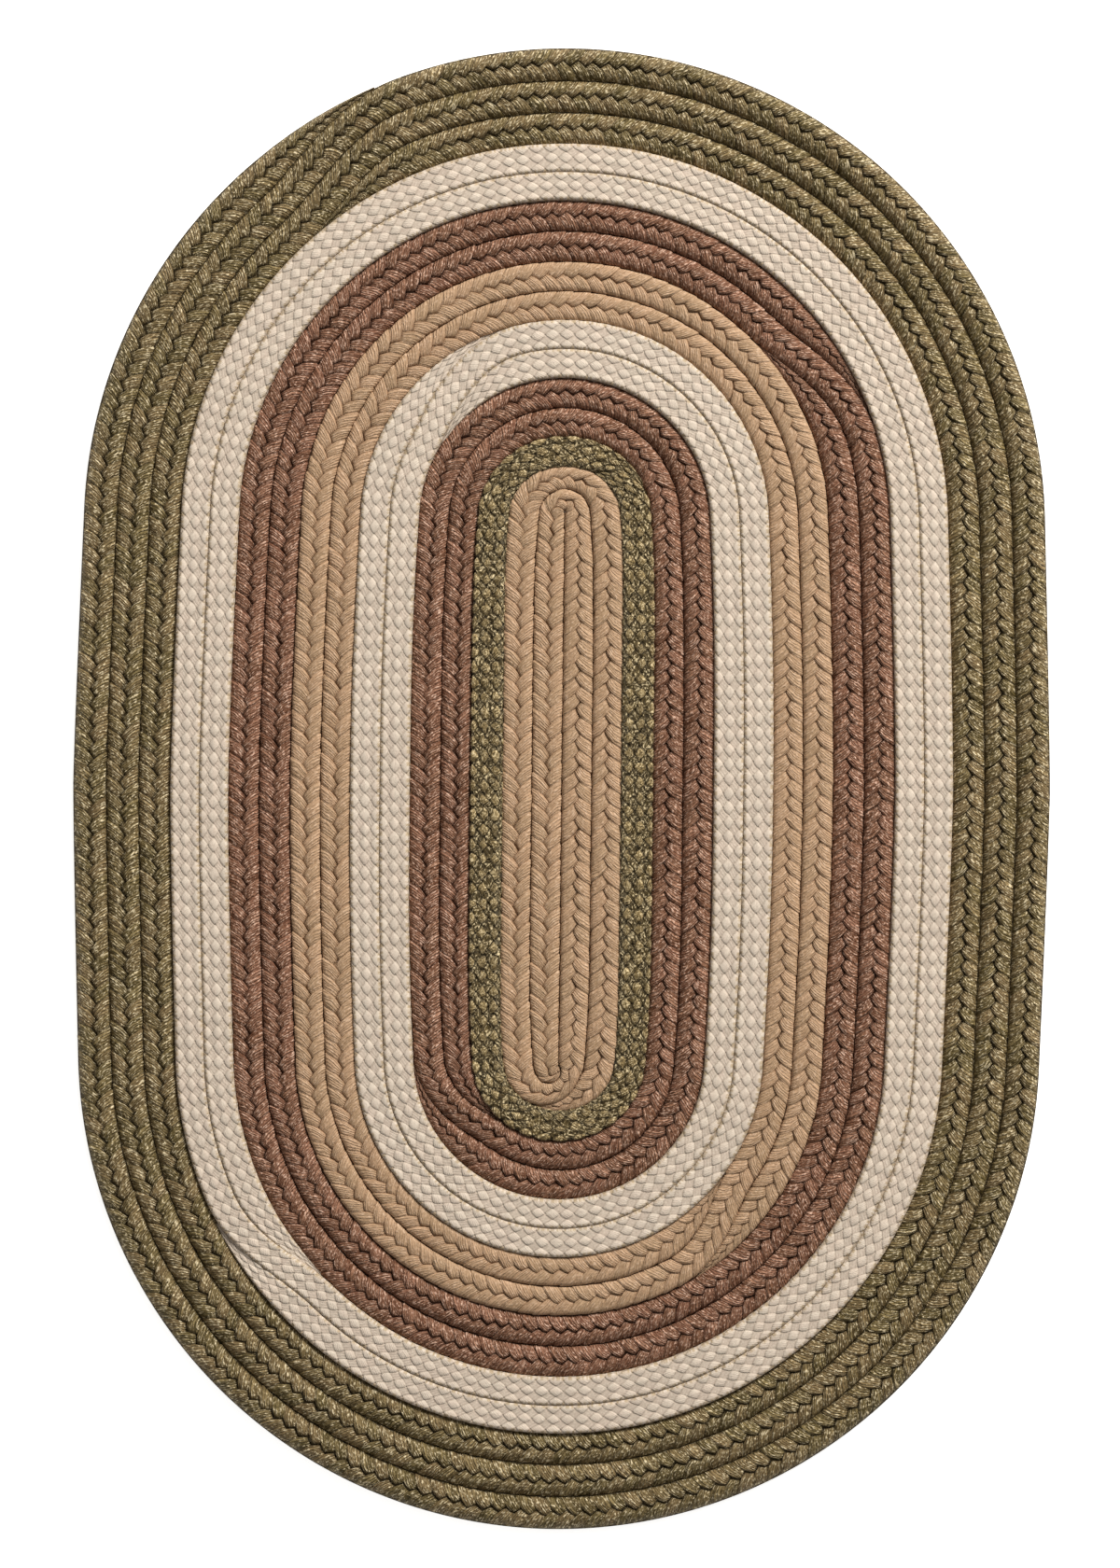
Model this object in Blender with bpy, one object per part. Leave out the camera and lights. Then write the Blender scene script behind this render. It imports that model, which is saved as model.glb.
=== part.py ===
"""An oval braided rug: eight braids, each coiled round the one before it.

Metres, +Z up, +Y along the rug's length. The origin is under the middle of the rug,
at the level of the floor.
"""

from collections import namedtuple
from math import cos, floor, pi, radians, sin

import bmesh
import bpy
from mathutils import Vector

# Driving dimensions, in metres
SEAM_LENGTH = 0.3456  # the straight centre seam, where the first braid doubles back
THICKNESS = 0.010  # a flattened braid
GAP = 0.0003  # between neighbouring rows
CORE_EYE = 0.0012  # radius of the small eye at each end of the centre seam
END_WIDTH = 0.0015  # a braid's tapered end is cut at this width
THINNING_SHARE = 0.8  # narrower than this share of its width, a taper also gets thinner
THINNING_POWER = 0.5
END_SQUEEZE = 0.0152  # how much nearer the seam the outer edge lies at the rug's two ends
SQUEEZE_START = 2.0  # up to this row the squeeze grows evenly,
SQUEEZE_GROWTH = 0.27  # and past it with this power of the row's number
SQUEEZE_CORNER = 60.0  # the larger, the straighter the inner rows' sides

# Stations round one lap, clockwise from the middle of the top end
QUARTER_STEPS = 12
SIDE_STEPS = 4
LAP_STEPS = 4 * QUARTER_STEPS + 2 * SIDE_STEPS
CHANGEOVER_STATIONS = 12  # at least about this many across a changeover

# A braid's cross-section: the share of its width, and of its thickness
SECTION = (
    (0.12, 0.00),
    (0.88, 0.00),
    (1.00, 0.46),
    (0.83, 0.87),
    (0.50, 1.00),
    (0.17, 0.87),
    (0.00, 0.46),
)

# The braids, from the centre out. At its changeover, so many steps long, every row of a
# braid moves out by one: the braid's start tapers in and its end tapers out.
Braid = namedtuple("Braid", "name rows width changeover changeover_steps colour roughness")
TAN = (0.376, 0.238, 0.145)
GREEN = (0.168, 0.122, 0.061)
BROWN = (0.188, 0.098, 0.062)
CREAM = (0.591, 0.485, 0.386)
OLIVE = (0.144, 0.107, 0.051)
BRAIDS = (
    Braid("centre_tan", 2, 0.01870, 19, 16, TAN, 0.95),
    Braid("inner_green", 1, 0.01900, 3, 8, GREEN, 0.95),
    Braid("inner_brown", 2, 0.01940, 33, 8, BROWN, 0.95),
    Braid("inner_cream", 2, 0.01840, 47, 7, CREAM, 0.90),
    Braid("middle_tan", 2, 0.01880, 20, 4, TAN, 0.95),
    Braid("outer_brown", 2, 0.01955, 6, 4, BROWN, 0.95),
    Braid("outer_cream", 2, 0.01780, 34, 3, CREAM, 0.90),
    Braid("border_olive", 3, 0.02025, 50, 3, OLIVE, 0.95),
)


def clear_scene():
    for obj in list(bpy.context.scene.objects):
        bpy.data.objects.remove(obj)


def smooth_step(share):
    share = min(max(share, 0.0), 1.0)
    return share * share * (3.0 - 2.0 * share)


def row_edges():
    """Distances from the seam to each row's edge, beside the middle of the rug."""
    edges = [0.0]
    for braid in BRAIDS:
        for _ in range(braid.rows):
            edges.append(edges[-1] + braid.width)
    return edges


ROW_EDGES = row_edges()


def side_distance(row):
    """The distance from the seam, beside the middle, of a place given in rows."""
    whole = min(int(row), len(ROW_EDGES) - 2)
    return ROW_EDGES[whole] + (row - whole) * (ROW_EDGES[whole + 1] - ROW_EDGES[whole])


def seam_distance(row, arc, side):
    """How far from the seam a place lies: its distance at the sides, less the squeeze.

    The arc share runs from 0 beside the seam to 1 at the rug's end, and the side share
    from 0 at the middle of the rug to 1 at the seam's end. The squeeze grows with a power
    of the sine of the way travelled along the row. That power is high for the inner rows,
    whose sides stay straight, and near one for the outer rows.
    """
    distance = side_distance(row)
    half_seam = SEAM_LENGTH / 2
    travelled = side * half_seam + arc * pi / 2 * distance
    whole = half_seam + pi / 2 * distance
    counted = max(row, SQUEEZE_START)
    squeeze = END_SQUEEZE * (counted / (len(ROW_EDGES) - 1)) ** SQUEEZE_GROWTH
    squeeze *= min(row / SQUEEZE_START, 1.0)
    power = 1 + SQUEEZE_CORNER / counted**2
    distance -= squeeze * sin(pi / 2 * travelled / whole) ** power
    return max(distance, CORE_EYE * arc)


def ring_point(row, step):
    """The point of a row's ring at a whole step, on the floor."""
    half_lap = LAP_STEPS // 2
    half_seam = SEAM_LENGTH / 2
    lower, step = divmod(step % LAP_STEPS, half_lap)
    turned = step - QUARTER_STEPS
    if turned < 0:  # the quarter before the straight side
        angle, y, arc, side = -turned / QUARTER_STEPS, half_seam, -turned / QUARTER_STEPS, 1.0
    elif turned <= SIDE_STEPS:
        y = half_seam * (1 - 2 * turned / SIDE_STEPS)
        angle, arc, side = 0.0, 0.0, abs(y) / half_seam
    else:  # the quarter after it
        arc = (turned - SIDE_STEPS) / QUARTER_STEPS
        angle, y, side = -arc, -half_seam, 1.0
    distance = seam_distance(row, arc, side)
    x = distance * cos(angle * pi / 2)
    y += distance * sin(angle * pi / 2)
    return Vector((-x, -y, 0.0)) if lower else Vector((x, y, 0.0))


def lap_point(row, step):
    """As ring_point, and on the straight line between two whole steps."""
    whole = floor(step)
    return ring_point(row, whole).lerp(ring_point(row, whole + 1), step - whole)


def strip_edges(braid, first_row, step):
    """A braid's inner and outer edge, in rows, so many steps along it."""
    lap, rest = divmod(step, LAP_STEPS)
    place = lap + smooth_step(rest / braid.changeover_steps)
    inner = first_row + max(place - 1.0, 0.0)
    outer = first_row + min(place, float(braid.rows))
    return inner, outer


def strip_section(braid, first_row, step):
    """The points of one cross-section, or None where the taper is too narrow."""
    inner_row, outer_row = strip_edges(braid, first_row, step)
    inner = lap_point(inner_row, braid.changeover + step)
    outer = lap_point(outer_row, braid.changeover + step)
    width = (outer - inner).length - GAP
    if width < END_WIDTH:
        return None
    outward = (outer - inner).normalized()
    height = THICKNESS * min(1.0, width / (THINNING_SHARE * braid.width)) ** THINNING_POWER
    points = []
    for across, up in SECTION:
        point = inner + outward * (GAP / 2 + across * width)
        point.z = up * height
        points.append(point)
    return points


def strip_steps(braid):
    """The steps at which a braid has a section: finer inside its changeovers."""
    parts = max(1, round(CHANGEOVER_STATIONS / braid.changeover_steps))
    steps = []
    for lap in range(braid.rows + 1):
        start = lap * LAP_STEPS
        steps += [start + i / parts for i in range(braid.changeover_steps * parts)]
        if lap < braid.rows:
            steps += range(start + braid.changeover_steps, start + LAP_STEPS)
    return steps


def strip_sections(braid, first_row):
    sections = [strip_section(braid, first_row, step) for step in strip_steps(braid)]
    return [section for section in sections if section is not None]


def loft(name, sections):
    """A closed solid through the sections, with a flat face at each end."""
    mesh = bpy.data.meshes.new(name)
    bm = bmesh.new()
    rings = [[bm.verts.new(point) for point in section] for section in sections]
    count = len(SECTION)
    for ring, following in zip(rings, rings[1:]):
        for i in range(count):
            j = (i + 1) % count
            bm.faces.new((ring[i], ring[j], following[j], following[i]))
    bm.faces.new(rings[0][::-1])
    bm.faces.new(rings[-1])
    bmesh.ops.recalc_face_normals(bm, faces=bm.faces)
    bm.to_mesh(mesh)
    bm.free()
    mesh.shade_smooth()
    mesh.set_sharp_from_angle(angle=radians(60))
    return mesh


def yarn_material(braid):
    material = bpy.data.materials.new(braid.name + "_yarn")
    material.use_nodes = True
    shader = material.node_tree.nodes["Principled BSDF"]
    shader.inputs["Base Color"].default_value = (*braid.colour, 1.0)
    shader.inputs["Roughness"].default_value = braid.roughness
    shader.inputs["Metallic"].default_value = 0.0
    material.diffuse_color = (*braid.colour, 1.0)
    return material


def coil_braid(braid, first_row, collection, rug):
    mesh = loft(braid.name, strip_sections(braid, first_row))
    mesh.materials.append(yarn_material(braid))
    obj = bpy.data.objects.new(braid.name, mesh)
    collection.objects.link(obj)
    obj.parent = rug
    return obj


def make_rug():
    clear_scene()
    collection = bpy.data.collections.new("braided_rug")
    bpy.context.scene.collection.children.link(collection)
    rug = bpy.data.objects.new("rug", None)
    collection.objects.link(rug)
    first_row = 0
    for braid in BRAIDS:
        coil_braid(braid, first_row, collection, rug)
        first_row += braid.rows


make_rug()
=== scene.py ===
from math import cos, pi, radians, sin

import bpy
import numpy as np
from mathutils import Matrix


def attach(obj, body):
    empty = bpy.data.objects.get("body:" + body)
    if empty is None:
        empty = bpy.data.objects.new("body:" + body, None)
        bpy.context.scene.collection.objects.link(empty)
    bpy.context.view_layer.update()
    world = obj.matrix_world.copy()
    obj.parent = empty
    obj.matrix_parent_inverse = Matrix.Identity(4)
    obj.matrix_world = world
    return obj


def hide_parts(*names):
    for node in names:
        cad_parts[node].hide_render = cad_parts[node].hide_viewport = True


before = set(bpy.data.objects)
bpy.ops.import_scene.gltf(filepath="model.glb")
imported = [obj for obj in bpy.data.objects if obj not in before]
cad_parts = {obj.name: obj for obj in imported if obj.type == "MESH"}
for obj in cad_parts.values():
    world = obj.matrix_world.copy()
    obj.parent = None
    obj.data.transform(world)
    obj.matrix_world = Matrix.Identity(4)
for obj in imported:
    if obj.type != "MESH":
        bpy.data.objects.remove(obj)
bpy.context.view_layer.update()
print("frame loaded:", len(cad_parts), "braids")


# camera, light and floor

view = {
    "lens": 100.0,  # mm, long, so that the rug is seen almost without perspective
    "sensor": 36.0,  # mm, along the image's height
    "imageHeight": 0.9806,  # metres of rug that the image's height shows
    "middle": (-0.00105, 0.0029),  # the point of the rug in the middle of the image
    "turn": 0.63,  # degrees that the rug is turned clockwise in the image
    "level": 0.005,  # height at which that size holds
    "clip": (0.1, 20.0),  # metres
}


def placeCamera():
    camera = bpy.data.cameras.new("camera")
    camera.lens = view["lens"]
    camera.sensor_width = view["sensor"]
    distance = view["imageHeight"] * view["lens"] / view["sensor"]
    camera.clip_start, camera.clip_end = view["clip"]
    eye = bpy.data.objects.new("camera", camera)
    eye.location = (*view["middle"], view["level"] + distance)
    eye.rotation_euler = (0.0, 0.0, radians(view["turn"]))
    bpy.context.scene.collection.objects.link(eye)
    bpy.context.scene.camera = eye


studio = {
    "keyAzimuth": 60.0,  # degrees from +X towards +Y: from the upper right
    "keyElevation": 34.0,
    "keyDistance": 6.0,  # near enough that the lower left gets a little less light
    "keySize": 2.8,
    "keyPower": 570.0,
    "keyColour": (1.0, 0.975, 0.93),
    "skyPower": 0.32,
    "skyColour": (1.0, 0.98, 0.95),
    "floorColour": (0.93, 0.93, 0.92),
    "floorGlow": 0.75,  # a light table under the rug, which leaves only a faint shadow
    "floorSize": 30.0,
    "floorRoughness": 0.9,
}


def lightStudio():
    azimuth = radians(studio["keyAzimuth"])
    elevation = radians(studio["keyElevation"])
    away = studio["keyDistance"] * cos(elevation)
    lamp = bpy.data.lights.new("key light", "AREA")
    lamp.energy = studio["keyPower"]
    lamp.size = studio["keySize"]
    lamp.color = studio["keyColour"]
    key = bpy.data.objects.new("key light", lamp)
    height = studio["keyDistance"] * sin(elevation)
    key.location = (away * cos(azimuth), away * sin(azimuth), height)
    key.rotation_euler = (0.0, pi / 2 - elevation, azimuth)
    bpy.context.scene.collection.objects.link(key)
    world = bpy.data.worlds.new("studio")
    world.use_nodes = True
    sky = world.node_tree.nodes["Background"]
    sky.inputs["Color"].default_value = (*studio["skyColour"], 1.0)
    sky.inputs["Strength"].default_value = studio["skyPower"]
    bpy.context.scene.world = world
    bpy.context.scene.view_settings.view_transform = "Standard"


def layFloor():
    half = studio["floorSize"] / 2
    corners = [(-half, -half, 0.0), (half, -half, 0.0), (half, half, 0.0), (-half, half, 0.0)]
    mesh = bpy.data.meshes.new("floor")
    mesh.from_pydata(corners, [], [(0, 1, 2, 3)])
    floor = bpy.data.objects.new("floor", mesh)
    bpy.context.scene.collection.objects.link(floor)
    paint = bpy.data.materials.new("pale floor")
    paint.use_nodes = True
    shader = paint.node_tree.nodes["Principled BSDF"]
    shader.inputs["Base Color"].default_value = (*studio["floorColour"], 1.0)
    shader.inputs["Roughness"].default_value = studio["floorRoughness"]
    shader.inputs["Emission Color"].default_value = (1.0, 1.0, 1.0, 1.0)
    shader.inputs["Emission Strength"].default_value = studio["floorGlow"]
    mesh.materials.append(paint)


placeCamera()
lightStudio()
layFloor()
print("camera, light and floor placed")


# the rug's rows

rug = {
    "seamLength": 0.3456,  # the straight centre seam
    "thickness": 0.010,
    "gap": 0.0003,  # between rows
    "coreEye": 0.0012,  # radius of the small eye at each end of the seam
    "endWidth": 0.0002,  # a tapered end stops where its row is this wide
    "tuck": 0.0022,  # and is pressed this much into its neighbours there,
    "tuckShare": 0.9,  # from where its row is narrower than this share of its width
    "thinningShare": 0.8,  # narrower than this share, a taper also gets thinner,
    "thinningPower": 0.25,  # with this power of its width
    "endSqueeze": 0.0152,  # how much nearer the seam the outer edge lies at the rug's two ends
    "squeezeStart": 2.0,  # up to this row the squeeze grows evenly,
    "squeezeGrowth": 0.27,  # and past it with this power of the row's number
    "squeezeCorner": 60.0,  # the larger, the straighter the inner rows' sides
    "quarterSteps": 12,  # steps of a quarter turn, and of a straight side
    "sideSteps": 4,
    "rowWidths": [0.0187] * 2 + [0.0190] + [0.0194] * 2 + [0.0184] * 2 + [0.0188] * 2
    + [0.01955] * 2 + [0.0178] * 2 + [0.02025] * 3,
    "stationsPerStep": 10,
}
halfSeam = rug["seamLength"] / 2
lapSteps = 4 * rug["quarterSteps"] + 2 * rug["sideSteps"]
rowEdges = np.concatenate([[0.0], np.cumsum(rug["rowWidths"])])


def smoothStep(share):
    # 0 below 0, 1 above 1, and a smooth S between them
    share = np.clip(share, 0.0, 1.0)
    return share * share * (3.0 - 2.0 * share)


def seamDistance(row, arc, side):
    # the row's distance from the seam beside the middle, less a squeeze that grows with a
    # power of the sine of the way travelled from the middle of the side (0) to the rug's
    # end (1). That power is high for the inner rows, whose sides stay straight
    distance = np.interp(row, np.arange(len(rowEdges)), rowEdges)
    travelled = side * halfSeam + arc * pi / 2 * distance
    share = np.clip(travelled / (halfSeam + pi / 2 * distance), 0.0, 1.0)
    counted = np.maximum(row, rug["squeezeStart"])
    squeeze = rug["endSqueeze"] * (counted / len(rug["rowWidths"])) ** rug["squeezeGrowth"]
    squeeze = squeeze * np.minimum(row / rug["squeezeStart"], 1.0)
    power = 1.0 + rug["squeezeCorner"] / counted**2
    distance = distance - squeeze * np.sin(pi / 2 * share) ** power
    return np.maximum(distance, rug["coreEye"] * arc)


def ringPoint(row, step):
    # the floor point of a place given in rows outward from the seam and in steps round the
    # lap, clockwise from the middle of the top end: a quarter arc, a straight side and
    # another arc, then the same turned half round
    half = lapSteps / 2
    lap = np.mod(step, lapSteps)
    turned = np.mod(lap, half) - rug["quarterSteps"]
    before = np.clip(-turned / rug["quarterSteps"], 0.0, 1.0)
    after = np.clip((turned - rug["sideSteps"]) / rug["quarterSteps"], 0.0, 1.0)
    down = 1.0 - 2.0 * np.clip(turned / rug["sideSteps"], 0.0, 1.0)
    distance = seamDistance(row, np.maximum(before, after), np.abs(down))
    angle = (before - after) * pi / 2
    point = np.stack([distance * np.cos(angle), halfSeam * down + distance * np.sin(angle)], -1)
    return np.where((lap < half)[:, None], point, -point)


def braidLine(braid):
    # stations from the braid's tapered start to its tapered end: the middle of the braid, its
    # direction outward, its width and the length travelled. At a changeover each row
    # moves out by one with a smooth step
    last = braid["rows"] * lapSteps + braid["changeoverSteps"]
    steps = np.linspace(0.0, last, last * rug["stationsPerStep"] + 1)
    laps = np.minimum(np.floor(steps / lapSteps), braid["rows"])
    place = laps + smoothStep((steps - laps * lapSteps) / braid["changeoverSteps"])
    innerRow = braid["firstRow"] + np.maximum(place - 1.0, 0.0)
    outerRow = braid["firstRow"] + np.minimum(place, braid["rows"])
    inner = ringPoint(innerRow, braid["changeover"] + steps)
    outer = ringPoint(outerRow, braid["changeover"] + steps)
    across = outer - inner
    width = np.linalg.norm(across, axis=1)
    kept = width - rug["gap"] > rug["endWidth"]
    middle = (inner + outer)[kept] / 2
    outward = (across / np.maximum(width, 1e-9)[:, None])[kept]
    travelled = np.linalg.norm(np.diff(middle, axis=0), axis=1)
    fullWidth = rug["rowWidths"][braid["firstRow"]]
    width = width[kept] - rug["gap"]
    width = width + rug["tuck"] * (1.0 - np.minimum(1.0, width / (rug["tuckShare"] * fullWidth)))
    return {
        "along": np.concatenate([[0.0], np.cumsum(travelled)]),
        "middle": middle,
        "outward": outward,
        "width": width,
        "length": float(travelled.sum()),
        "fullWidth": fullWidth,
    }


def widthAt(line, along):
    return np.interp(along, line["along"], line["width"])


def thinning(line, along):
    # 1 on the whole braid, less on its tapers: a root of the width over the share where
    # they start to get thinner
    share = widthAt(line, along) / (rug["thinningShare"] * line["fullWidth"])
    return np.minimum(1.0, share) ** rug["thinningPower"]


def onBraid(line, along, across, up):
    # the point so far along a braid, across it by a share of its half width, and so high,
    # but never under the floor
    reach = across * widthAt(line, along) / 2
    x = np.interp(along, line["along"], line["middle"][:, 0])
    y = np.interp(along, line["along"], line["middle"][:, 1])
    outX = np.interp(along, line["along"], line["outward"][:, 0])
    outY = np.interp(along, line["along"], line["outward"][:, 1])
    high = np.maximum(up, 0.0) * thinning(line, along)
    return np.stack([x + reach * outX, y + reach * outY, high], -1)


def makePiece(name, points, faces, uv, material):
    # a mesh object from arrays: points, corner lists and one UV for each corner
    mesh = bpy.data.meshes.new(name)
    mesh.from_pydata(points.reshape(-1, 3), [], faces)
    layer = mesh.uv_layers.new(name="strand")
    layer.data.foreach_set("uv", uv.astype(np.float32).ravel())
    mesh.shade_smooth()
    mesh.materials.append(material)
    piece = bpy.data.objects.new(name, mesh)
    bpy.context.scene.collection.objects.link(piece)
    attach(piece, "root")
    return piece


def paintPoints(piece, name, values):
    layer = piece.data.attributes.new(name, "FLOAT", "POINT")
    layer.data.foreach_set("value", values.astype(np.float32))


# yarn materials

weave = {
    "columns": 16,  # round a woven tube: about six show on its face
    "squareness": 14.0,  # of its section's superellipse
    "fineCuts": 4001,  # on which that section's equal lengths are measured
    "halfWidth": 0.0094,
    "spread": 1.04,  # a little wider than its row, so that neighbours touch
    "reach": 0.56,  # of a raised cell from its middle, in pitches
    "cushion": 0.4,  # how high the lower cells are, as a share of the relief
    "pit": (0.36, 0.48),  # where the pit at a cell's corner starts, and where it is deepest
}


def addNode(tree, kind, inputs=None, **settings):
    node = tree.nodes.new(kind)
    for key, value in settings.items():
        setattr(node, key, value)
    for key, value in (inputs or {}).items():
        if isinstance(value, bpy.types.NodeSocket):
            tree.links.new(value, node.inputs[key])
        else:
            node.inputs[key].default_value = value
    return node


def maths(tree, operation, first, second=0.0, third=0.0):
    values = {0: first, 1: second, 2: third}
    return addNode(tree, "ShaderNodeMath", values, operation=operation).outputs[0]


def blendColour(tree, share, first, second):
    node = addNode(tree, "ShaderNodeMix", data_type="RGBA")
    for socket, value in (("Factor_Float", share), ("A_Color", first), ("B_Color", second)):
        target = next(one for one in node.inputs if one.identifier == socket)
        if isinstance(value, bpy.types.NodeSocket):
            tree.links.new(value, target)
        else:
            target.default_value = value if isinstance(value, float) else (*value, 1.0)
    return next(one for one in node.outputs if one.identifier == "Result_Color")


def startGroup(name, inputs, outputs):
    group = bpy.data.node_groups.new(name, "ShaderNodeTree")
    for label, value in inputs.items():
        socket = group.interface.new_socket(label, in_out="INPUT", socket_type="NodeSocketFloat")
        socket.default_value = value
    for label in outputs:
        group.interface.new_socket(label, in_out="OUTPUT", socket_type="NodeSocketFloat")
    given = group.nodes.new("NodeGroupInput").outputs
    return group, given, group.nodes.new("NodeGroupOutput").inputs


def seededPlace(tree, across, along, seed):
    return addNode(tree, "ShaderNodeCombineXYZ", {"X": across, "Y": along, "Z": seed}).outputs[0]


def noiseAt(tree, across, along, seed, detail=1.0):
    settings = {"Vector": seededPlace(tree, across, along, seed), "Scale": 1.0, "Detail": detail}
    return addNode(tree, "ShaderNodeTexNoise", settings).outputs["Fac"]


def randomLevel(tree, place):
    given = {"Vector": place}
    return addNode(tree, "ShaderNodeTexWhiteNoise", given, noise_dimensions="2D").outputs["Value"]


def scaled(tree, value, share, middle=0.0):
    # (value - middle) times share
    return maths(tree, "MULTIPLY", maths(tree, "SUBTRACT", value, middle), share)


def stretchedNoise(tree, across, along, fineness, seed, detail=1.0):
    acrossScaled = scaled(tree, across, fineness[0])
    return noiseAt(tree, acrossScaled, scaled(tree, along, fineness[1]), seed, detail)


def ranged(tree, value, low, high, top):
    # 0 below low, top above high
    given = {"Value": value, "From Min": low, "From Max": high, "To Max": top}
    return addNode(tree, "ShaderNodeMapRange", given).outputs["Result"]


yarnShape = {
    # how fine each noise is, across in yarns and along in centimetres
    "slow": (0.25, 0.7),
    "quick": (0.9, 1.6),
    "fibre": (4.0, 2.0),
    "fleck": (1.6, 5.0),
    "slowBend": 3.0,  # how far the two wanders bend the yarns
    "quickBend": 1.2,
    "ridgeHeight": 0.35,  # the heights' shares
    "yarnHeight": 0.5,
    "fibreHeight": 1.1,
    "fleckHeight": 0.9,
    "seedScale": 7.3,
    "creasePower": 2.0,  # the higher, the finer the creases
    "creaseFade": (0.62, 0.38),  # the quick noise where a crease is gone, and where it is whole
}


def yarnLinesGroup():
    # side by side yarns on a strand, along it in centimetres: ridges are the sine of the way
    # across, bent by a slow and a quick wander, with one random level for each yarn, fibres
    # drawn out along it, and shorter flecks
    shape = yarnShape
    group, given, result = startGroup(
        "yarn lines",
        {"Across": 0.0, "Along": 0.0, "Seed": 0.0, "Yarns": 6.0, "Wander": 0.5},
        ["Height", "CreaseShade", "Fleck", "Yarn"],
    )
    along, seed = given["Along"], given["Seed"]
    straight = maths(group, "MULTIPLY", given["Across"], given["Yarns"])
    slow = stretchedNoise(group, straight, along, shape["slow"], seed)
    quick = stretchedNoise(group, straight, along, shape["quick"], seed)
    slowBend = scaled(group, slow, shape["slowBend"], 0.5)
    bend = maths(group, "ADD", slowBend, scaled(group, quick, shape["quickBend"], 0.5))
    counted = maths(group, "ADD", straight, maths(group, "MULTIPLY", bend, given["Wander"]))
    ridge = maths(group, "ABSOLUTE", maths(group, "SINE", maths(group, "MULTIPLY", counted, pi)))
    number = maths(group, "FLOOR", counted)
    yarnPlace = seededPlace(group, number, scaled(group, seed, shape["seedScale"]), 0.0)
    yarn = randomLevel(group, yarnPlace)
    fibre = stretchedNoise(group, counted, along, shape["fibre"], seed, 2.0)
    fleck = stretchedNoise(group, counted, along, shape["fleck"], seed, 2.0)
    level = maths(group, "ADD", shape["ridgeHeight"], scaled(group, yarn, shape["yarnHeight"]))
    height = maths(group, "MULTIPLY", ridge, level)
    height = maths(group, "ADD", height, scaled(group, fibre, shape["fibreHeight"]))
    height = maths(group, "ADD", height, scaled(group, fleck, shape["fleckHeight"]))
    group.links.new(height, result["Height"])
    # the creases between the yarns, the mask of their painted shade
    creaseShade = maths(group, "POWER", maths(group, "SUBTRACT", 1.0, ridge), shape["creasePower"])
    broken = maths(group, "MULTIPLY", creaseShade, ranged(group, quick, *shape["creaseFade"], 1.0))
    group.links.new(broken, result["CreaseShade"])
    group.links.new(fleck, result["Fleck"])
    group.links.new(yarn, result["Yarn"])
    return group


def between(tree, share, first, second):
    # first where the share is 0, second where it is 1
    return maths(tree, "MULTIPLY_ADD", maths(tree, "SUBTRACT", second, first), share, first)


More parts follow.
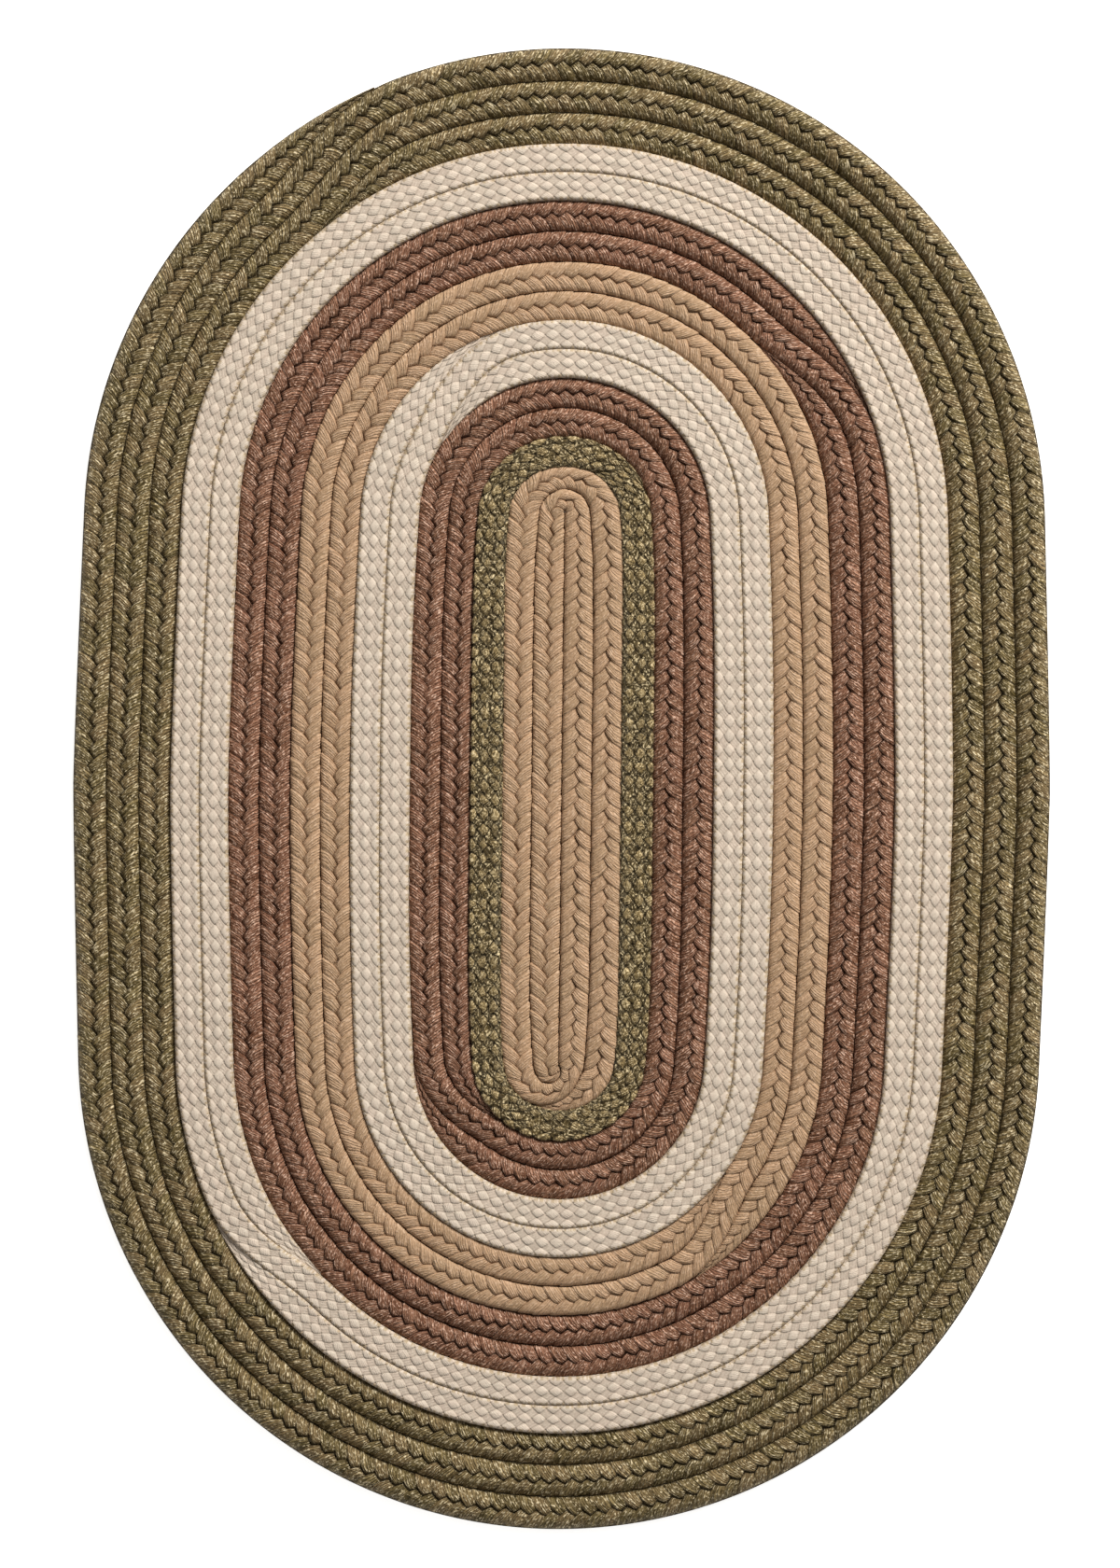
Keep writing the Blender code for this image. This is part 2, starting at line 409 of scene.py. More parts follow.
def wovenCellsGroup():
    # a flat tube woven one over, one under, on a slant: with p the way along in pitches and c
    # the way round in columns, whole numbers of p + c/2 and p - c/2 are the cells' middles.
    # The even columns' cells are rounded and lap over the others: their reach is the fourth
    # root of the sum of fourth powers of the two ways from the middle. The others' cells
    # fall off to their edges by the drop, and the edge is how wide the outlines are
    group, given, result = startGroup(
        "woven cells",
        {"Pitches": 0.0, "Columns": 0.0, "Reach": 0.56, "Drop": 1.0, "Edge": 0.16},
        ["Dome", "Lap", "Outline", "Pit", "Across", "Along", "Cell"],
    )
    half = maths(group, "MULTIPLY", given["Columns"], 0.5)
    first = maths(group, "ADD", given["Pitches"], half)
    second = maths(group, "SUBTRACT", given["Pitches"], half)
    wholeFirst, wholeSecond = maths(group, "ROUND", first), maths(group, "ROUND", second)
    inFirst = maths(group, "SUBTRACT", first, wholeFirst)
    inSecond = maths(group, "SUBTRACT", second, wholeSecond)
    odd = maths(group, "FLOORED_MODULO", maths(group, "SUBTRACT", wholeFirst, wholeSecond), 2.0)
    awayFirst, awaySecond = maths(group, "ABSOLUTE", inFirst), maths(group, "ABSOLUTE", inSecond)
    # in an odd cell, the ways from the nearest even cell's middle
    pastFirst = maths(group, "MULTIPLY", odd, maths(group, "GREATER_THAN", awayFirst, awaySecond))
    pastSecond = maths(group, "SUBTRACT", odd, pastFirst)
    stepFirst = maths(group, "MULTIPLY", pastFirst, maths(group, "SIGN", inFirst))
    stepSecond = maths(group, "MULTIPLY", pastSecond, maths(group, "SIGN", inSecond))
    evenFirst = maths(group, "SUBTRACT", inFirst, stepFirst)
    evenSecond = maths(group, "SUBTRACT", inSecond, stepSecond)
    sizes = [maths(group, "ABSOLUTE", way) for way in (evenFirst, evenSecond)]
    powers = [maths(group, "POWER", size, 4.0) for size in sizes]
    root = maths(group, "POWER", maths(group, "ADD", *powers), 0.25)
    reach = maths(group, "DIVIDE", root, given["Reach"])
    lap = maths(group, "LESS_THAN", reach, 1.0)
    ownEdge = maths(group, "MULTIPLY", maths(group, "MAXIMUM", awayFirst, awaySecond), 2.0)
    dome = maths(group, "SUBTRACT", 1.0, maths(group, "POWER", reach, 4.0))
    fall = maths(group, "MULTIPLY", given["Drop"], maths(group, "POWER", ownEdge, 4.0))
    low = maths(group, "MULTIPLY", weave["cushion"], maths(group, "SUBTRACT", 1.0, fall))
    raised = maths(group, "ADD", weave["cushion"], scaled(group, dome, 1.0 - weave["cushion"]))
    group.links.new(between(group, lap, low, raised), result["Dome"])
    group.links.new(lap, result["Lap"])
    offEdge = maths(group, "ABSOLUTE", maths(group, "SUBTRACT", reach, 1.0))
    group.links.new(ranged(group, offEdge, given["Edge"], 0.0, 1.0), result["Outline"])
    nearCorner = maths(group, "MINIMUM", awayFirst, awaySecond)
    group.links.new(ranged(group, nearCorner, *weave["pit"], 1.0), result["Pit"])
    across = between(group, lap, inSecond, evenFirst)
    group.links.new(maths(group, "ADD", 0.5, across), result["Across"])
    group.links.new(between(group, lap, inFirst, evenSecond), result["Along"])
    cellFirst = between(group, lap, wholeFirst, maths(group, "ADD", wholeFirst, stepFirst))
    cellSecond = between(group, lap, wholeSecond, maths(group, "ADD", wholeSecond, stepSecond))
    place = seededPlace(group, cellFirst, cellSecond, 0.0)
    group.links.new(randomLevel(group, place), result["Cell"])
    return group


yarnLines = yarnLinesGroup()
wovenCells = wovenCellsGroup()


def startMaterial(name, finish):
    material = bpy.data.materials.new(name)
    material.use_nodes = True
    tree = material.node_tree
    shader = tree.nodes["Principled BSDF"]
    shader.inputs["Roughness"].default_value = finish["roughness"]
    shader.inputs["Specular IOR Level"].default_value = finish["specular"]
    return material, tree, shader


def useGroup(tree, group, inputs):
    return addNode(tree, "ShaderNodeGroup", inputs, node_tree=group).outputs


def paintToned(tree, colour, level, shader):
    toned = addNode(tree, "ShaderNodeVectorMath", {0: colour}, operation="SCALE")
    tree.links.new(level, toned.inputs["Scale"])
    tree.links.new(toned.outputs[0], shader.inputs["Base Color"])


def addRelief(tree, height, distance, shader):
    given = {"Height": height, "Strength": 1.0, "Distance": distance}
    bump = addNode(tree, "ShaderNodeBump", given)
    tree.links.new(bump.outputs["Normal"], shader.inputs["Normal"])


strandLook = {
    "seedScale": 91.0,
    "yarnShade": 0.6,  # how much a yarn's own level and its flecks shade it
    "fleckShade": (1.6, 0.375),
    "warmFrom": (0.2, 0.9),  # the strand's tone where it is not warm, and where it is most
    "fleckFrom": (0.54, 0.66),  # the fleck noise where flecks start, and where they are full
}


def strandMaterial(name, finish):
    # plaited strands: UV x runs across a strand from 0 to 1, y along it in centimetres
    material, tree, shader = startMaterial(name, finish)
    uv = addNode(tree, "ShaderNodeUVMap", uv_map="strand")
    split = addNode(tree, "ShaderNodeSeparateXYZ", {0: uv.outputs["UV"]}).outputs
    tone = addNode(tree, "ShaderNodeAttribute", attribute_name="tone").outputs["Fac"]
    crackShade = addNode(tree, "ShaderNodeAttribute", attribute_name="crackShade").outputs["Fac"]
    seed = scaled(tree, tone, strandLook["seedScale"])
    given = {"Across": split["X"], "Along": split["Y"], "Seed": seed}
    yarns = {"Yarns": finish["yarns"], "Wander": finish["wander"]}
    lines = useGroup(tree, yarnLines, given | yarns)
    yarnShade = scaled(tree, lines["Yarn"], strandLook["yarnShade"])
    shade = maths(tree, "ADD", yarnShade, scaled(tree, lines["Fleck"], *strandLook["fleckShade"]))
    colour = blendColour(tree, ranged(tree, shade, 0.0, 1.0, 1.0), finish["dark"], finish["light"])
    warmed = ranged(tree, tone, *strandLook["warmFrom"], finish["warmShare"])
    colour = blendColour(tree, warmed, colour, finish["warm"])
    flecked = ranged(tree, lines["Fleck"], *strandLook["fleckFrom"], finish["fleckShare"])
    colour = blendColour(tree, flecked, colour, finish["fleck"])
    # painted shade: the creases between yarns, and the cracks at the strands' tips and edges,
    # darkened towards the crease shade colour
    paintedShade = scaled(tree, lines["CreaseShade"], finish["creaseShadeShare"])
    paintedShade = maths(tree, "MAXIMUM", paintedShade, scaled(tree, crackShade, finish["crackShadeShare"]))
    colour = blendColour(tree, paintedShade, colour, finish["creaseShade"])
    level = maths(tree, "ADD", 1.0, scaled(tree, tone, finish["toneRange"], 0.5))
    paintToned(tree, colour, level, shader)
    addRelief(tree, lines["Height"], finish["relief"], shader)
    return material


weaveLook = {
    # how fine each noise is, along in pitches and round in columns, and its seed
    "wobble": (1.3, 0.6),
    "pitchSeed": 5.0,
    "columnSeed": 9.0,
    "patch": (0.7, 0.4),
    "patchSeed": 3.0,
    "stitch": (3.5, 0.0),
    "stitchSeed": 7.0,
    "seedScale": 97.0,
    # the noise where each colour starts, and where it is full
    "tintFrom": (0.4, 0.65),
    "fleckFrom": (0.52, 0.66),
    "speckFrom": (0.48, 0.34),
    "stitchFrom": (0.45, 0.55),
    # columns from the tube's middle where its edge starts, and where it is full
    "pitEdge": (1.5, 2.5),
    "stitchEdge": (1.95, 2.25),
}


def weaveMaterial(name, finish):
    # flat woven tubes: UV x runs along in pitches and y round the tube in columns, 0 on top
    material, tree, shader = startMaterial(name, finish)
    uv = addNode(tree, "ShaderNodeUVMap", uv_map="strand")
    split = addNode(tree, "ShaderNodeSeparateXYZ", {0: uv.outputs["UV"]}).outputs
    look = weaveLook
    shift = stretchedNoise(tree, split["X"], split["Y"], look["wobble"], look["pitchSeed"])
    pitches = maths(tree, "ADD", split["X"], scaled(tree, shift, finish["wobble"], 0.5))
    shift = stretchedNoise(tree, split["X"], split["Y"], look["wobble"], look["columnSeed"])
    columns = maths(tree, "ADD", split["Y"], scaled(tree, shift, 2.0 * finish["wobble"], 0.5))
    shape = {"Reach": finish["reach"], "Drop": finish["drop"], "Edge": finish["edge"]}
    cells = useGroup(tree, wovenCells, shape | {"Pitches": pitches, "Columns": columns})
    # an odd strand shows fewer yarns than an even one
    share = between(tree, cells["Lap"], finish["underShare"], 1.0)
    across = maths(tree, "MULTIPLY", cells["Across"], share)
    seed = scaled(tree, cells["Cell"], look["seedScale"])
    given = {"Across": across, "Along": cells["Along"], "Seed": seed}
    yarns = {"Yarns": finish["yarns"], "Wander": finish["wander"]}
    lines = useGroup(tree, yarnLines, given | yarns)
    colour = blendColour(tree, cells["Lap"], finish["under"], finish["over"])
    patch = stretchedNoise(tree, split["X"], split["Y"], look["patch"], look["patchSeed"], 2.0)
    tinted = ranged(tree, patch, *look["tintFrom"], finish["tintShare"])
    colour = blendColour(tree, tinted, colour, finish["tint"])
    flecked = ranged(tree, lines["Fleck"], *look["fleckFrom"], finish["fleckShare"])
    colour = blendColour(tree, flecked, colour, finish["fleck"])
    # real dark specks, in the colour of the painted crease shade
    specked = ranged(tree, lines["Fleck"], *look["speckFrom"], finish["specks"])
    colour = blendColour(tree, specked, colour, finish["creaseShade"])
    # painted shade along the cells' outlines, in the pits and in the creases between yarns,
    # the pits' shade darker towards the tube's edges; a broken line of stitches runs along them
    away = maths(tree, "PINGPONG", split["Y"], weave["columns"] / 2)
    side = ranged(tree, away, *look["pitEdge"], 1.0)
    outlineShade = maths(tree, "MULTIPLY", cells["Outline"], finish["outlineShadeShare"])
    pit = maths(tree, "MULTIPLY", cells["Pit"], between(tree, side, finish["pitShadeShare"], 1.0))
    dashes = stretchedNoise(tree, split["X"], split["Y"], look["stitch"], look["stitchSeed"])
    broken = ranged(tree, dashes, *look["stitchFrom"], finish["seamShare"])
    seam = maths(tree, "MULTIPLY", ranged(tree, away, *look["stitchEdge"], 1.0), broken)
    creaseShade = maths(tree, "MAXIMUM", outlineShade, pit)
    creaseShade = maths(tree, "MAXIMUM", creaseShade, scaled(tree, lines["CreaseShade"], finish["creaseShadeShare"]))
    colour = blendColour(tree, creaseShade, colour, finish["creaseShade"])
    colour = blendColour(tree, seam, colour, finish["seam"])
    level = maths(tree, "ADD", 1.0, scaled(tree, cells["Cell"], finish["toneRange"], 0.5))
    paintToned(tree, colour, level, shader)
    domes = scaled(tree, cells["Dome"], finish["cellRelief"])
    height = maths(tree, "ADD", domes, scaled(tree, lines["Height"], finish["lineRelief"]))
    height = maths(tree, "SUBTRACT", height, scaled(tree, cells["Pit"], finish["pitRelief"]))
    addRelief(tree, height, 1.0, shader)
    return material


# plaited braids

plait = {
    "strandThickness": 0.0034,
    "narrowPitch": 0.45,  # of the pitch, where a taper is thinnest
    # one strand's outer face, from its tip under the other column round the braid's edge to
    # its tip at the back: shares of half the width, of half the thickness and of the pitch;
    # how far its front edge leans back across, its width in pitches, how far its edges round
    # off, in metres, how much it tilts, in degrees, and how much painted shade it gets in a crack
    "columns": ("across", "up", "forward", "lean", "width", "rounding", "tilt", "crackShade"),
    "course": (
        (-0.09, -0.05, -0.56, 0.19, 0.70, 0.0010, 8.0, 1.0),
        (-0.02, 0.35, -0.47, 0.20, 0.68, 0.0011, 8.0, 1.0),
        (0.06, 0.70, -0.385, 0.19, 0.70, 0.0012, 8.0, 0.4),
        (0.14, 0.86, -0.30, 0.17, 0.78, 0.0012, 8.0, 0.0),
        (0.28, 0.95, -0.17, 0.13, 0.92, 0.0012, 7.0, 0.0),
        (0.47, 0.99, -0.01, 0.08, 1.06, 0.0010, 6.0, 0.0),
        (0.74, 1.00, 0.16, 0.03, 1.14, 0.0008, 4.0, 0.0),
        (0.955, 0.90, 0.265, 0.00, 1.18, 0.0006, 6.0, 0.1),
        (1.035, 0.25, 0.30, 0.00, 1.18, 0.0006, 6.0, 0.4),
        (0.90, -0.80, 0.38, 0.00, 1.12, 0.0009, 0.0, 0.1),
        (0.35, -0.98, 0.58, -0.08, 1.00, 0.0014, -5.0, 0.0),
        (-0.09, -0.50, 1.02, -0.20, 0.66, 0.0014, -8.0, 1.0),
    ),
    # the section's points: across the strand, the share of the rounding, and of the thickness
    "section": (
        (-1.0, 1.0, 0.2),
        (-0.82, 0.28, 0.0),
        (-0.4, 0.02, 0.0),
        (0.4, 0.02, 0.0),
        (0.82, 0.28, 0.0),
        (1.0, 1.0, 0.2),
        (0.0, 0.0, 1.0),
    ),
    "pitchPlay": 0.035,  # uneven spacing, width, height, tilt and tips from strand to strand
    "widthPlay": 0.05,
    "heightPlay": 0.00012,
    "tiltPlay": 1.5,
    "tipPlay": 0.035,
    "shoulder": 0.28,  # the share of the half width past which the top falls off
    "ends": 0.55,  # pitches from a braid's end to the first strand, and past the last
    "stagger": 0.5,  # pitches by which the outer column's strands come later
    "straightTips": 0.45,  # the share of the half width past which tips don't play
    "laidOut": (0.95, 0.5, 0.99),  # centimetres to a share across, up and forward, for UVs
}


def strandPlaces(line, fullPitch, side, dice):
    # strands at equal steps of length over local pitch, which shrinks as the taper narrows
    share = np.minimum(1.0, line["width"] / line["fullWidth"])
    pitch = fullPitch * (plait["narrowPitch"] + (1.0 - plait["narrowPitch"]) * share)
    passed = np.diff(line["along"]) / ((pitch[1:] + pitch[:-1]) / 2)
    count = np.concatenate([[0.0], np.cumsum(passed)])
    first = plait["ends"] + plait["stagger"] * (1 + side) / 2
    places = np.arange(first, count[-1] - plait["ends"])
    places = places + dice.uniform(-plait["pitchPlay"], plait["pitchPlay"], len(places))
    along = np.interp(places, count, line["along"])
    return along, np.interp(along, line["along"], pitch)


def strandPoints(braid, line, side, dice):
    # each strand is its section carried along its course: [strand, station, section point].
    # A section point lies inward from the course, square to it, by its rounding and its
    # thickness, and outward by the tilt. The depth scales the tip's dive, the rounding and
    # the tilt, and the top falls off past the shoulder with the square of the way across
    depth = braid["crackDepth"]
    along, pitch = strandPlaces(line, braid["pitch"], side, dice)
    count = len(along)
    course = dict(zip(plait["columns"], np.array(plait["course"]).T[:, None, :, None]))
    place, rounded, deep = np.array(plait["section"]).T[:, None, None, :]
    half = line["fullWidth"] / 2
    thick = rug["thickness"] / 2
    past = np.clip((course["across"] - plait["shoulder"]) / (1.0 - plait["shoulder"]), 0.0, 1.1)
    dive = (course["up"] > 0.0) & (past == 0.0)
    up = np.where(dive, 1.0 - depth * (1.0 - course["up"]), course["up"])
    up = np.where(course["up"] > 0.0, up - braid["shoulderFall"] * past**2, up)
    wayAcross = np.gradient(course["across"][0, :, 0] * half)
    wayUp = np.gradient(up[0, :, 0] * thick)
    length = np.hypot(wayAcross, wayUp)
    outAcross = (-wayUp / length)[None, :, None]
    outUp = (wayAcross / length)[None, :, None]
    tilt = np.radians(depth * course["tilt"] + dice.normal(0.0, plait["tiltPlay"], (count, 1, 1)))
    uneven = 1.0 + dice.normal(0.0, plait["widthPlay"], (count, 1, 1))
    width = pitch[:, None, None] * course["width"] * uneven
    lift = dice.normal(0.0, plait["heightPlay"], (count, 1, 1))
    tip = dice.normal(0.0, plait["tipPlay"], (count, 1, 1))
    tip = tip * np.clip(1.0 - course["across"] / plait["straightTips"], 0.0, 1.0)
    outward = lift - depth * rounded * course["rounding"] - deep * plait["strandThickness"]
    outward = outward + place * width / 2 * np.sin(tilt)
    travel = along[:, None, None] + course["forward"] * pitch[:, None, None] + place * width / 2
    shareAcross = course["across"] + tip - course["lean"] * place + outAcross * outward / half
    high = thick * (1.0 + up) + outUp * outward
    return onBraid(line, travel, side * shareAcross, high)


def strandFaces(strands, stations, sides):
    # quads between neighbouring stations and a cap at each end, for every strand
    station, corner = np.meshgrid(np.arange(stations - 1), np.arange(sides), indexing="ij")
    following = (corner + 1) % sides
    low, high = station * sides, (station + 1) * sides
    quads = np.stack([low + corner, low + following, high + following, high + corner], -1)
    quads = quads.reshape(-1, 4)
    first = np.arange(strands)[:, None, None] * stations * sides
    caps = np.stack([np.arange(sides)[::-1], (stations - 1) * sides + np.arange(sides)])
    return (quads + first).reshape(-1, 4), (caps + first).reshape(-1, sides)


def strandUv():
    # x across the strand from 0 to 1, y along it in centimetres; and how much painted crack
    # shade each point gets, by its station and by the rounding of its place in the section
    course = dict(zip(plait["columns"], np.array(plait["course"]).T))
    place, rounded, deep = np.array(plait["section"]).T
    ways = np.stack([course["across"], course["up"], course["forward"]])
    steps = np.linalg.norm(np.diff(ways) * np.array(plait["laidOut"])[:, None], axis=0)
    length = np.concatenate([[0.0], np.cumsum(steps)])
    uv = np.stack(np.broadcast_arrays((place[None, :] + 1.0) / 2, length[:, None]), -1)
    rounding = course["rounding"][:, None] / course["rounding"].max()
    edge = np.maximum(rounded, deep)[None, :] * rounding
    return uv, 1.0 - (1.0 - course["crackShade"][:, None]) * (1.0 - edge)


def plaitColumn(braid, line, side, name, material):
    dice = np.random.default_rng(braid["seed"] + (side > 0))
    points = strandPoints(braid, line, side, dice)
    strands, stations, sides = points.shape[:3]
    quads, caps = strandFaces(strands, stations, sides)
    if side < 0:  # mirrored, so its faces turn round
        quads, caps = quads[:, ::-1], caps[:, ::-1]
    uvOne, crackShade = strandUv()
    uvAll = np.tile(uvOne.reshape(-1, 2), (strands, 1))
    uv = np.concatenate([uvAll[quads.ravel()], uvAll[caps.ravel()]])
    piece = makePiece(name, points, quads.tolist() + caps.tolist(), uv, material)
    paintPoints(piece, "tone", np.repeat(dice.uniform(0.0, 1.0, strands), stations * sides))
    # the painted crack shade of each point
    paintPoints(piece, "crackShade", np.tile(crackShade.ravel(), strands))
    return piece


filler = {
    "width": 1.06,  # of the braid's, so that neighbours touch
    "thickness": 0.5,
    "step": 0.006,
    "sides": 8,
    "inset": 0.0005,  # from the braid's ends
    "tone": 0.5,
    # painted shade: the core is darkened towards the crease shade colour where it shows between
    # the rows
    "crackShade": 0.7,
}


def fillerCore(braid, line, material):
    # the flat core inside a plait: an ellipse carried along it
    count = int(line["length"] / filler["step"])
    along = np.linspace(filler["inset"], line["length"] - filler["inset"], count)
    turn = np.arange(filler["sides"]) * 2 * pi / filler["sides"]
    across = -filler["width"] * np.sin(turn)
    up = rug["thickness"] / 2 * (1.0 + filler["thickness"] * np.cos(turn))
    points = onBraid(line, along[:, None], across[None, :], up[None, :])
    quads, caps = strandFaces(1, count, filler["sides"])
    centimetres, turned = np.meshgrid(100 * along, turn / (2 * pi), indexing="ij")
    uvAll = np.stack([turned, centimetres], -1).reshape(-1, 2)
    uv = np.concatenate([uvAll[quads.ravel()], uvAll[caps.ravel()]])
    name = braid["name"] + "_core"
    piece = makePiece(name, points, quads.tolist() + caps.tolist(), uv, material)
    paintPoints(piece, "tone", np.full(len(piece.data.vertices), filler["tone"]))
    paintPoints(piece, "crackShade", np.full(len(piece.data.vertices), filler["crackShade"]))
    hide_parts(braid["name"])
    return piece


def plaitedBraid(braid, material):
    line = braidLine(braid)
    core = fillerCore(braid, line, material)
    columns = [
        plaitColumn(braid, line, side, braid["name"] + ending, material)
        for side, ending in ((-1, "_inner_strands"), (1, "_outer_strands"))
    ]
    print(braid["name"], "plaited,", round(line["length"], 2), "m long")


# woven braids

def weaveSection(count, shift):
    # a superellipse, |across|^n + |up|^n = 1, cut at equal lengths clockwise from near the
    # top, with the way outward at each point
    turn = np.linspace(0.0, 2 * pi, weave["fineCuts"])
    power = 2 / weave["squareness"]
    across = np.sign(np.sin(turn)) * np.abs(np.sin(turn)) ** power * weave["halfWidth"]
    up = np.sign(np.cos(turn)) * np.abs(np.cos(turn)) ** power * rug["thickness"] / 2
    length = np.concatenate([[0.0], np.cumsum(np.hypot(np.diff(across), np.diff(up)))])
    at = np.mod(np.arange(count) / count + shift, 1.0) * length[-1]
    across, up = np.interp(at, length, across), np.interp(at, length, up)
    wayAcross = np.roll(across, -1) - np.roll(across, 1)
    wayUp = np.roll(up, -1) - np.roll(up, 1)
    size = np.hypot(wayAcross, wayUp)
    return across / weave["halfWidth"], up, -wayUp / size, wayAcross / size


def cellHeight(pitches, columns):
    # the even columns' cells are domes, one less the fourth power of their reach, and lap
    # over the others' lower cushions, which fall to nothing at their edges
    cushion = weave["cushion"]
    first, second = pitches + columns / 2, pitches - columns / 2
    awayFirst, awaySecond = np.abs(first - np.round(first)), np.abs(second - np.round(second))
    odd = np.mod(np.round(first) - np.round(second), 2.0) > 0.5
    far, near = np.maximum(awayFirst, awaySecond), np.minimum(awayFirst, awaySecond)
    farEven = np.where(odd, 1.0 - far, far)
    reach = (farEven**4 + near**4) ** 0.25 / weave["reach"]
    raised = cushion + (1.0 - cushion) * (1.0 - reach**4)
    return np.where(reach < 1.0, raised, cushion * (1.0 - (2 * far) ** 4))


def wovenFaces(stations, around):
    # two triangles a quad, split along the cells' edges; as corners [triangle, 3] of the
    # grid, in the order that points outwards
    station, corner = np.meshgrid(np.arange(stations - 1), np.arange(around), indexing="ij")
    station, corner = station.ravel(), corner.ravel()
    a, b = np.stack([station, corner], -1), np.stack([station, corner + 1], -1)
    c, d = np.stack([station + 1, corner + 1], -1), np.stack([station + 1, corner], -1)
    even = ((station + corner) % 2 == 0)[:, None, None]
    first = np.where(even, np.stack([a, b, c], 1), np.stack([a, b, d], 1))
    second = np.where(even, np.stack([a, c, d], 1), np.stack([b, c, d], 1))
    return np.concatenate([first, second])[:, ::-1]


def wovenBraid(braid, material):
    line = braidLine(braid)
    perColumn = 2 * braid["fineness"]
    perPitch = 4 * braid["fineness"]
    around = weave["columns"] * perColumn
    stations = int(line["length"] / braid["pitch"]) * perPitch + 1
    along = np.linspace(0.0, line["length"], stations)
    pitchAt = np.arange(stations) / perPitch
    columnAt = np.arange(around) / perColumn
    across, up, outAcross, outUp = weaveSection(around, braid["columnShift"] / weave["columns"])
    relief = braid["relief"] * (cellHeight(pitchAt[:, None], columnAt[None, :]) - braid["sunk"])
    stood = outAcross[None, :] * relief / (line["fullWidth"] / 2)
    high = rug["thickness"] / 2 + up[None, :] + outUp[None, :] * relief
    points = onBraid(line, along[:, None], weave["spread"] * across[None, :] + stood, high)
    corners = wovenFaces(stations, around)
    faces = corners[..., 0] * around + corners[..., 1] % around
    uv = np.stack([corners[..., 0] / perPitch, corners[..., 1] / perColumn], -1).reshape(-1, 2)
    caps = np.stack([np.arange(around), (stations - 1) * around + np.arange(around)[::-1]])
    uv = np.concatenate([uv, np.zeros((2 * around, 2))])
    name = braid["name"] + "_weave"
    piece = makePiece(name, points, faces.tolist() + caps.tolist(), uv, material)
    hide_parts(braid["name"])
    print(braid["name"], "woven,", round(line["length"], 2), "m long")


# the finishes

tanFinish = {
    "dark": (0.36, 0.23, 0.13),
    "light": (0.52, 0.345, 0.21),
    "warm": (0.47, 0.285, 0.18),
    "warmShare": 0.25,
    "fleck": (0.66, 0.48, 0.34),
    "fleckShare": 0.5,
    # the colour of the painted shade in creases and cracks
    "creaseShade": (0.14, 0.055, 0.015),
    "creaseShadeShare": 0.45,
    "crackShadeShare": 0.45,
    "toneRange": 0.10,
    "yarns": 6.0,
    "wander": 0.7,
    "relief": 0.0005,
    "roughness": 0.65,
    "specular": 0.25,
}
brownFinish = tanFinish | {
    "dark": (0.115, 0.043, 0.018),
    "light": (0.40, 0.212, 0.130),
    "warm": (0.36, 0.17, 0.115),
    "warmShare": 0.2,
    "fleck": (0.80, 0.55, 0.42),
    "fleckShare": 0.7,
    # the colour of the painted shade in creases and cracks
    "creaseShade": (0.045, 0.010, 0.002),
    "creaseShadeShare": 0.95,
    "crackShadeShare": 0.9,
    "relief": 0.0010,
    "specular": 0.2,
}
oliveFinish = brownFinish | {
    "dark": (0.062, 0.043, 0.010),
    "light": (0.33, 0.247, 0.108),
    "warm": (0.34, 0.22, 0.12),
    "warmShare": 0.3,
    "fleck": (0.88, 0.75, 0.50),
    "fleckShare": 0.75,
    # the colour of the painted shade in creases and cracks
    "creaseShade": (0.018, 0.010, 0.002),
    "relief": 0.0011,
}
creamFinish = {
    "over": (0.62, 0.53, 0.435),
    "under": (0.535, 0.445, 0.36),
    "tint": (0.61, 0.49, 0.40),
    "tintShare": 0.5,
    "fleck": (0.71, 0.625, 0.515),
    "fleckShare": 0.4,
    "specks": 0.12,
    # the colour of the painted shade in creases, outlines and pits, and of the real dark specks
    "creaseShade": (0.14, 0.08, 0.03),
    "creaseShadeShare": 0.06,
    "outlineShadeShare": 0.22,
    "pitShadeShare": 0.10,
    "pitRelief": 0.0003,
    "drop": 0.35,  # how far the lower cells fall away at their edges
    "edge": 0.30,  # how wide the cells' outlines are
    "seam": (0.36, 0.26, 0.14),
    "seamShare": 0.7,
    "toneRange": 0.14,
    "reach": weave["reach"],
    "wobble": 0.16,
    "underShare": 0.6,
    "yarns": 5.0,
    "wander": 0.4,
    "cellRelief": 0.0009,
    "lineRelief": 0.00014,
    "roughness": 0.7,
    "specular": 0.3,
}
greenFinish = creamFinish | {
    "over": (0.285, 0.203, 0.088),
    "under": (0.058, 0.038, 0.009),
    "tint": (0.145, 0.097, 0.03),
    "tintShare": 0.6,
    "fleck": (0.74, 0.60, 0.36),
    "fleckShare": 0.85,
    "specks": 0.8,
    # the colour of the painted shade in creases, outlines and pits, and of the real dark specks
    "creaseShade": (0.02, 0.012, 0.003),
    "creaseShadeShare": 0.4,
    "outlineShadeShare": 0.8,
    "pitShadeShare": 0.9,
    "pitRelief": 0.0012,
    "drop": 1.0,
    "edge": 0.16,
    "seam": (0.80, 0.70, 0.50),
    "seamShare": 0.05,
    "toneRange": 0.3,
    "reach": 0.5,
    "wobble": 0.6,
    "yarns": 4.0,
    "cellRelief": 0.0012,
    "lineRelief": 0.0006,
}

tanYarn = strandMaterial("tan yarn", tanFinish)
brownYarn = strandMaterial("brown yarn", brownFinish)
oliveYarn = strandMaterial("olive yarn", oliveFinish)
creamYarn = weaveMaterial("cream yarn", creamFinish)
greenYarn = weaveMaterial("green yarn", greenFinish)
print("yarns made")


# the braids, from the centre out

centreTan = {
    "name": "centre_tan",
    "slot": "tan_yarn",
    "firstRow": 0,
    "rows": 2,
    "changeover": 19,  # the step at which the braid starts
    "changeoverSteps": 16,
    "pitch": 0.0100,
    "shoulderFall": 0.22,  # how far the top falls off to the edges, of half the thickness
    "crackDepth": 0.5,  # how deep the strands dive where the columns meet, from 0 to 1
    "seed": 11,
}
plaitedBraid(centreTan, tanYarn)

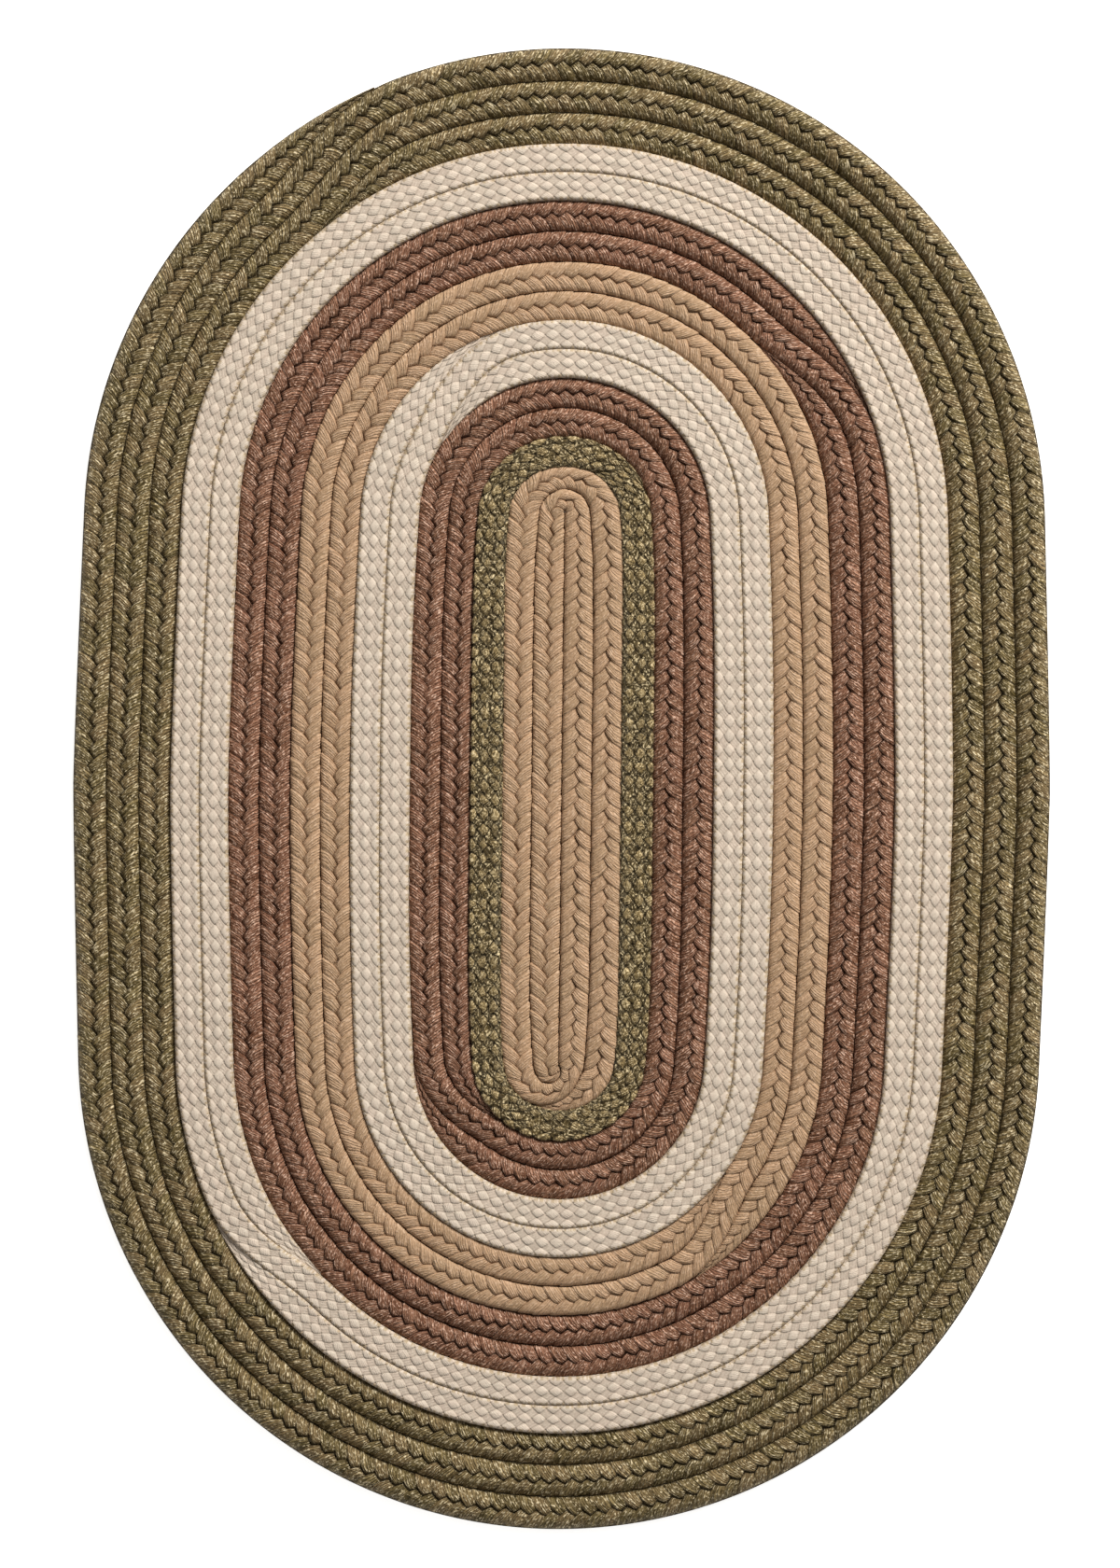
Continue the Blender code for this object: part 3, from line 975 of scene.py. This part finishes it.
innerGreen = {
    "name": "inner_green",
    "slot": "green_yarn",
    "firstRow": 2,
    "rows": 1,
    "changeover": 3,
    "changeoverSteps": 8,
    "pitch": 0.00916,
    "columnShift": 0.5,
    "fineness": 2,
    "relief": 0.0014,
    "sunk": 0.45,  # the share of the relief that lies inside the row's edge
}
wovenBraid(innerGreen, greenYarn)

innerBrown = {
    "name": "inner_brown",
    "slot": "brown_yarn",
    "firstRow": 3,
    "rows": 2,
    "changeover": 33,
    "changeoverSteps": 8,
    "pitch": 0.00935,
    "shoulderFall": 0.55,
    "crackDepth": 0.7,
    "seed": 21,
}
plaitedBraid(innerBrown, brownYarn)

innerCream = {
    "name": "inner_cream",
    "slot": "cream_yarn",
    "firstRow": 5,
    "rows": 2,
    "changeover": 47,
    "changeoverSteps": 7,
    "pitch": 0.0090,
    "columnShift": 0.0,
    "fineness": 1,
    "relief": 0.0005,
    "sunk": 0.4,
}
wovenBraid(innerCream, creamYarn)

middleTan = {
    "name": "middle_tan",
    "slot": "tan_yarn",
    "firstRow": 7,
    "rows": 2,
    "changeover": 20,
    "changeoverSteps": 4,
    "pitch": 0.0100,
    "shoulderFall": 0.22,
    "crackDepth": 0.5,
    "seed": 31,
}
plaitedBraid(middleTan, tanYarn)

outerBrown = {
    "name": "outer_brown",
    "slot": "brown_yarn",
    "firstRow": 9,
    "rows": 2,
    "changeover": 6,
    "changeoverSteps": 4,
    "pitch": 0.00935,
    "shoulderFall": 0.55,
    "crackDepth": 0.7,
    "seed": 41,
}
plaitedBraid(outerBrown, brownYarn)

outerCream = {
    "name": "outer_cream",
    "slot": "cream_yarn",
    "firstRow": 11,
    "rows": 2,
    "changeover": 34,
    "changeoverSteps": 3,
    "pitch": 0.0090,
    "columnShift": 0.0,
    "fineness": 1,
    "relief": 0.0005,
    "sunk": 0.4,
}
wovenBraid(outerCream, creamYarn)

borderOlive = {
    "name": "border_olive",
    "slot": "olive_yarn",
    "firstRow": 13,
    "rows": 3,
    "changeover": 50,
    "changeoverSteps": 3,
    "pitch": 0.0097,
    "shoulderFall": 0.75,
    "crackDepth": 0.85,
    "seed": 51,
}
plaitedBraid(borderOlive, oliveYarn)
